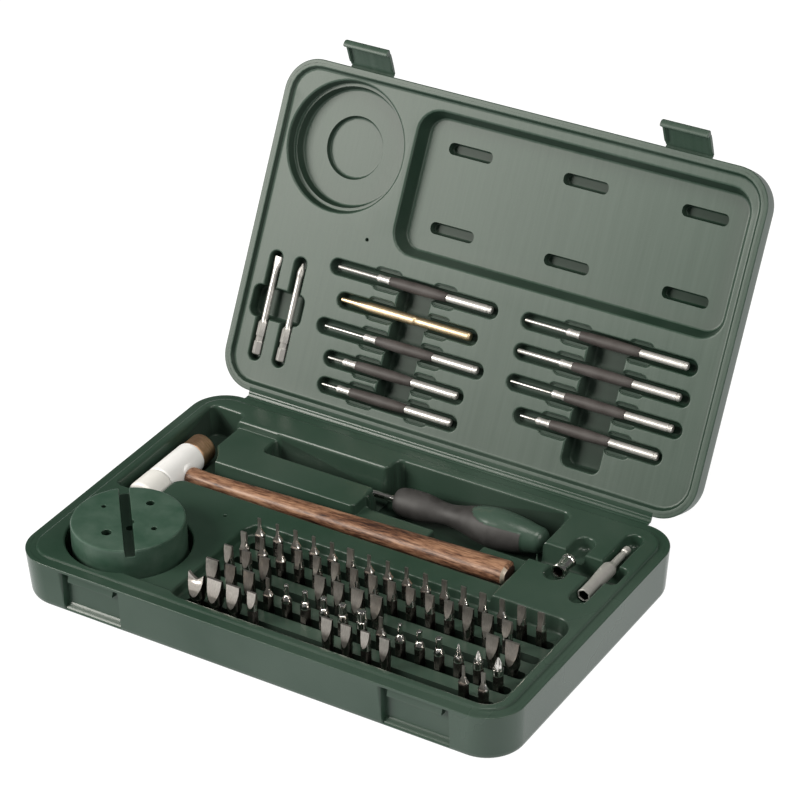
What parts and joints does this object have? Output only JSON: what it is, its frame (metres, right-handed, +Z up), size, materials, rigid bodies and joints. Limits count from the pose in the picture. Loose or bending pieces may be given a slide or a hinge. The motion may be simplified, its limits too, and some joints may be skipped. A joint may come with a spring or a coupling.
{
  "type": "gunsmith bench tool kit in a hinged moulded case",
  "caption": "Open moulded tool case on a living hinge, holding a two-faced hammer, round bench block, driver, bit rows and drift punches in fitted pockets.",
  "frame": {"origin": "centre of the base's underside, where the case stands", "axes": "+X to the right along the hinge, +Y back towards the hinge, +Z up"},
  "size_m": [0.36, 0.3582, 0.2608],
  "materials": {
    "case_green": "satin moulded",
    "lid_green": "fine-grained satin",
    "white_metal": "satin",
    "copper_face": "brushed",
    "nylon": "satin",
    "handle_wood": "varnished",
    "block_plastic": "satin",
    "steel": "polished",
    "dark_steel": "blackened",
    "driver_green": "satin",
    "grey_rubber": "matte",
    "brass": "satin"
  },
  "bodies": {
    "base": {"base_outer_wall": "case_green", "base_tray": "case_green", "base_hinge_leaf": "case_green", "bit_row_1": "dark_steel", "bit_row_2": "dark_steel", "bit_row_3": "dark_steel", "bit_row_4": "dark_steel", "bit_row_5": "dark_steel"},
    "lid": {"lid_outer_wall": "case_green", "lid_tray": "lid_green", "lid_hinge_leaf": "lid_green"},
    "latch_left": {"latch_left": "case_green"},
    "latch_right": {"latch_right": "case_green"},
    "hammer": {"hammer_head": "white_metal", "hammer_brass_face": "copper_face", "hammer_nylon_face": "nylon", "hammer_handle": "handle_wood"},
    "bench_block": {"bench_block": "block_plastic"},
    "driver": {"driver_shank": "steel", "driver_core": "driver_green", "driver_grip": "grey_rubber"},
    "adapter_short": {"adapter_short": "steel"},
    "adapter_long": {"adapter_long": "steel"},
    "punch_left_1": {"punch_left_1_pin": "steel", "punch_left_1_grip": "grey_rubber"},
    "punch_left_3": {"punch_left_3_pin": "steel", "punch_left_3_grip": "grey_rubber"},
    "punch_left_4": {"punch_left_4_pin": "steel", "punch_left_4_grip": "grey_rubber"},
    "punch_left_5": {"punch_left_5_pin": "steel", "punch_left_5_grip": "grey_rubber"},
    "punch_right_1": {"punch_right_1_pin": "steel", "punch_right_1_grip": "grey_rubber"},
    "punch_right_2": {"punch_right_2_pin": "steel", "punch_right_2_grip": "grey_rubber"},
    "punch_right_3": {"punch_right_3_pin": "steel", "punch_right_3_grip": "grey_rubber"},
    "punch_right_4": {"punch_right_4_pin": "steel", "punch_right_4_grip": "grey_rubber"},
    "punch_brass": {"punch_brass": "brass"},
    "long_bit_slotted": {"long_bit_slotted": "dark_steel"},
    "long_bit_phillips": {"long_bit_phillips": "dark_steel"}
  },
  "joints": [
    {"name": "lid_hinge", "type": "hinge", "parent": "base", "child": "lid", "pos_m": [0, 0.1185, 0.0325], "axis": [-1, 0, 0], "range_deg": [-117.67, 0]},
    {"name": "latch_left_hinge", "type": "hinge", "parent": "lid", "child": "latch_left", "pos_m": [-0.118, 0.22894, 0.23881], "axis": [-1, 0, 0], "range_deg": [-45, 45], "stiffness_Nm_per_rad": 0.02},
    {"name": "latch_right_hinge", "type": "hinge", "parent": "lid", "child": "latch_right", "pos_m": [0.118, 0.22894, 0.23881], "axis": [-1, 0, 0], "range_deg": [-45, 45], "stiffness_Nm_per_rad": 0.02},
    {"name": "hammer_lift", "type": "slide", "parent": "base", "child": "hammer", "axis": [0, 0, 1], "range_m": [0, 0.06]},
    {"name": "bench_block_lift", "type": "slide", "parent": "base", "child": "bench_block", "axis": [0, 0, 1], "range_m": [0, 0.06]},
    {"name": "driver_lift", "type": "slide", "parent": "base", "child": "driver", "axis": [0, 0, 1], "range_m": [0, 0.06]},
    {"name": "adapter_short_lift", "type": "slide", "parent": "base", "child": "adapter_short", "axis": [0, 0, 1], "range_m": [0, 0.04]},
    {"name": "adapter_long_lift", "type": "slide", "parent": "base", "child": "adapter_long", "axis": [0, 0, 1], "range_m": [0, 0.04]},
    {"name": "punch_left_1_lift", "type": "slide", "parent": "lid", "child": "punch_left_1", "axis": [0, -0.8856, 0.4644], "range_m": [0, 0.03]},
    {"name": "punch_left_3_lift", "type": "slide", "parent": "lid", "child": "punch_left_3", "axis": [0, -0.8856, 0.4644], "range_m": [0, 0.03]},
    {"name": "punch_left_4_lift", "type": "slide", "parent": "lid", "child": "punch_left_4", "axis": [0, -0.8856, 0.4644], "range_m": [0, 0.03]},
    {"name": "punch_left_5_lift", "type": "slide", "parent": "lid", "child": "punch_left_5", "axis": [0, -0.8856, 0.4644], "range_m": [0, 0.03]},
    {"name": "punch_right_1_lift", "type": "slide", "parent": "lid", "child": "punch_right_1", "axis": [0, -0.8856, 0.4644], "range_m": [0, 0.03]},
    {"name": "punch_right_2_lift", "type": "slide", "parent": "lid", "child": "punch_right_2", "axis": [0, -0.8856, 0.4644], "range_m": [0, 0.03]},
    {"name": "punch_right_3_lift", "type": "slide", "parent": "lid", "child": "punch_right_3", "axis": [0, -0.8856, 0.4644], "range_m": [0, 0.03]},
    {"name": "punch_right_4_lift", "type": "slide", "parent": "lid", "child": "punch_right_4", "axis": [0, -0.8856, 0.4644], "range_m": [0, 0.03]},
    {"name": "punch_brass_lift", "type": "slide", "parent": "lid", "child": "punch_brass", "axis": [0, -0.8856, 0.4644], "range_m": [0, 0.03]},
    {"name": "long_bit_slotted_lift", "type": "slide", "parent": "lid", "child": "long_bit_slotted", "axis": [0, -0.8856, 0.4644], "range_m": [0, 0.03]},
    {"name": "long_bit_phillips_lift", "type": "slide", "parent": "lid", "child": "long_bit_phillips", "axis": [0, -0.8856, 0.4644], "range_m": [0, 0.03]}
  ]
}
